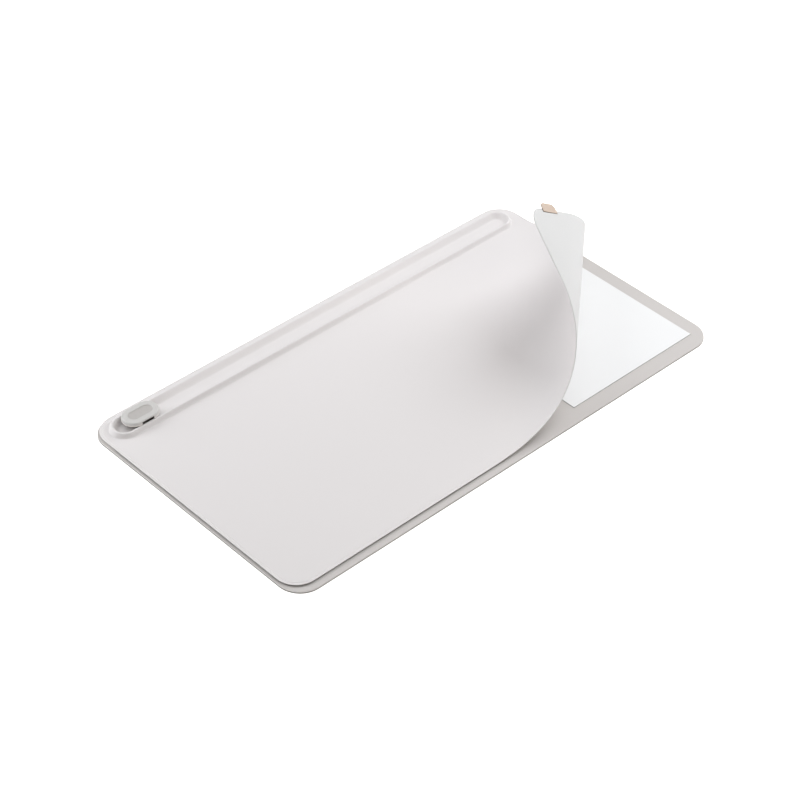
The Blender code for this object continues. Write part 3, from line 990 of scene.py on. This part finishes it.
class DESKMAT_OT_holder(Operator):
    """Make the cable holder: cap, body and foot pad"""

    bl_idname = "desk_mat.holder"
    bl_label = "Cable holder"

    def execute(self, context):
        settings = context.scene.desk_mat_holder
        low, high = cad_box("holder_cap")
        middle = Vector(((low.x + high.x) / 2, (low.y + high.y) / 2, 0.0))
        count = settings.segments
        for name, node_name, bm, materials, slot in (
            ("holder_cap_dished", "holder_cap", open_slot(holder_shell(CAP_PROFILE, 1, count)),
             ("holder cap", "slot lining", "holder dish", "holder lip"), "silicone"),
            ("holder_body_lower", "holder_body", holder_shell(BODY_PROFILE, 1, count),
             ("holder body",), "silicone"),
            ("holder_foot", "holder_foot_pad", holder_shell(FOOT_PROFILE, 0, count), ("foot felt",),
             "foot_pad"),
        ):
            bmesh.ops.translate(bm, vec=middle, verts=bm.verts)
            piece = finish_piece(name, bm, materials, angle=50)
            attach(piece, "cable_holder")
            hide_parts(node_name)
        for node_name in ("holder_magnet_left", "holder_magnet_right"):
            repaint(node_name, "magnet nickel")
        return {"FINISHED"}


# ----------------------------------------------------------
# Stage
# ----------------------------------------------------------


COOL, WARM = (0.985, 1.0, 1.02), (1.0, 0.97, 0.92)
# Each lamp's name, its turn from the right-hand side and its height above the floor in degrees, its watts
# and its colour. The watts began as a fit of the light and were then changed.
LAMPS = (("right low", 0.0, 20.0, 6.5, COOL), ("right high", 352.0, 50.0, 12.0, COOL),
         ("back left", 135.0, 20.0, 9.5, COOL), ("back high", 112.0, 50.0, 6.5, COOL),
         ("left", 205.0, 20.0, 3.0, COOL), ("front", 270.0, 34.0, 4.8, WARM),
         ("above", 0.0, 90.0, 3.0, COOL))
# The floor's half width, the point that the camera looks at and the width of its sensor in millimetres.
FLOOR_HALF = 6.0
CAMERA_TARGET = (-0.02948, -0.015, 0.0)
SENSOR_WIDTH = 36.0


class DESKMAT_OT_stage(Operator):
    """Make the floor, the lights and the camera"""

    bl_idname = "desk_mat.stage"
    bl_label = "Stage"

    def execute(self, context):
        settings = context.scene.desk_mat_stage
        scene = context.scene
        scene.view_settings.view_transform = "Standard"
        bm = bmesh.new()
        bmesh.ops.create_grid(bm, x_segments=1, y_segments=1, size=FLOOR_HALF)
        mesh = bpy.data.meshes.new("floor")
        bm.to_mesh(mesh)
        bm.free()
        floor = bpy.data.objects.new("floor", mesh)
        scene.collection.objects.link(floor)
        paint = bpy.data.materials.new("floor")
        paint.use_nodes = True
        shader = paint.node_tree.nodes["Principled BSDF"]
        shader.inputs["Base Color"].default_value = (0.96, 0.96, 0.96, 1.0)
        shader.inputs["Roughness"].default_value = 0.9
        shader.inputs["Specular IOR Level"].default_value = 0.1
        shader.inputs["Emission Color"].default_value = (1.0, 0.96, 0.9, 1.0)
        seen = node(paint.node_tree, "ShaderNodeLightPath").outputs["Is Camera Ray"]
        glow = spread(paint.node_tree, seen, settings.floor_glow, settings.floor_seen)
        paint.node_tree.links.new(glow, shader.inputs["Emission Strength"])
        mesh.materials.append(paint)

        world = bpy.data.worlds.new("studio")
        world.use_nodes = True
        sky = world.node_tree.nodes["Background"]
        sky.inputs["Color"].default_value = (1.0, 1.0, 1.0, 1.0)
        seen = node(world.node_tree, "ShaderNodeLightPath").outputs["Is Camera Ray"]
        strength = math(world.node_tree, "MAXIMUM", seen, settings.sky)
        world.node_tree.links.new(strength, sky.inputs["Strength"])
        scene.world = world

        for name, turn, rise, watts, tint in LAMPS:
            lamp = bpy.data.lights.new(name, "AREA")
            lamp.shape = "SQUARE"
            lamp.size = settings.lamp_size
            lamp.energy = watts * settings.lamps
            lamp.color = tint
            light = bpy.data.objects.new(name, lamp)
            scene.collection.objects.link(light)
            level, height = cos(radians(rise)), sin(radians(rise))
            towards = Vector((level * cos(radians(turn)), level * sin(radians(turn)), height))
            light.location = towards * settings.lamp_reach
            light.rotation_euler = (-towards).to_track_quat("-Z", "Y").to_euler()

        camera = bpy.data.cameras.new("camera")
        camera.sensor_width = SENSOR_WIDTH
        camera.lens = settings.lens
        camera.clip_start, camera.clip_end = 0.05, 60.0
        eye = bpy.data.objects.new("camera", camera)
        scene.collection.objects.link(eye)
        turn, rise = settings.azimuth, settings.elevation
        back = Vector((sin(turn) * cos(rise), -cos(turn) * cos(rise), sin(rise)))
        right = (-back).cross(UP).normalized()
        above = right.cross(-back)
        across = right * cos(settings.roll) + above * sin(settings.roll)
        upward = above * cos(settings.roll) - right * sin(settings.roll)
        place = Vector(CAMERA_TARGET) + back * settings.distance
        eye.matrix_world = Matrix.Translation(place) @ Matrix((across, upward, back)).transposed().to_4x4()
        scene.camera = eye
        return {"FINISHED"}


class DESKMAT_PT_panel(Panel):
    """The desk mat's parts, in the order that they are built"""

    bl_idname = "DESKMAT_PT_panel"
    bl_label = "Desk mat"
    bl_space_type = "VIEW_3D"
    bl_region_type = "UI"
    bl_category = "Desk mat"

    def draw(self, context):
        for operator in OPERATORS:
            self.layout.operator(operator.bl_idname)


OPERATORS = (DESKMAT_OT_base, DESKMAT_OT_paper, DESKMAT_OT_leather, DESKMAT_OT_lining, DESKMAT_OT_tab,
             DESKMAT_OT_holder, DESKMAT_OT_stage)
SETTINGS = {"desk_mat_leaf": LeafSettings, "desk_mat_base": BaseSettings,
            "desk_mat_holder": HolderSettings, "desk_mat_stage": StageSettings}


def register():
    """Register the classes and hang the settings on the scene."""
    for group in SETTINGS.values():
        bpy.utils.register_class(group)
    for name, group in SETTINGS.items():
        setattr(bpy.types.Scene, name, PointerProperty(type=group))
    for item in (*OPERATORS, DESKMAT_PT_panel):
        bpy.utils.register_class(item)


def unregister():
    """Undo register."""
    for item in reversed((*OPERATORS, DESKMAT_PT_panel)):
        bpy.utils.unregister_class(item)
    for name in SETTINGS:
        delattr(bpy.types.Scene, name)
    for group in reversed(list(SETTINGS.values())):
        bpy.utils.unregister_class(group)


def main():
    """Build every piece."""
    register()
    scene = bpy.context.scene
    make_finishes(scene.desk_mat_leaf, scene.desk_mat_base, scene.desk_mat_holder)
    for operator in OPERATORS:
        family, name = operator.bl_idname.split(".")
        getattr(getattr(bpy.ops, family), name)()


if __name__ == "__main__":
    main()
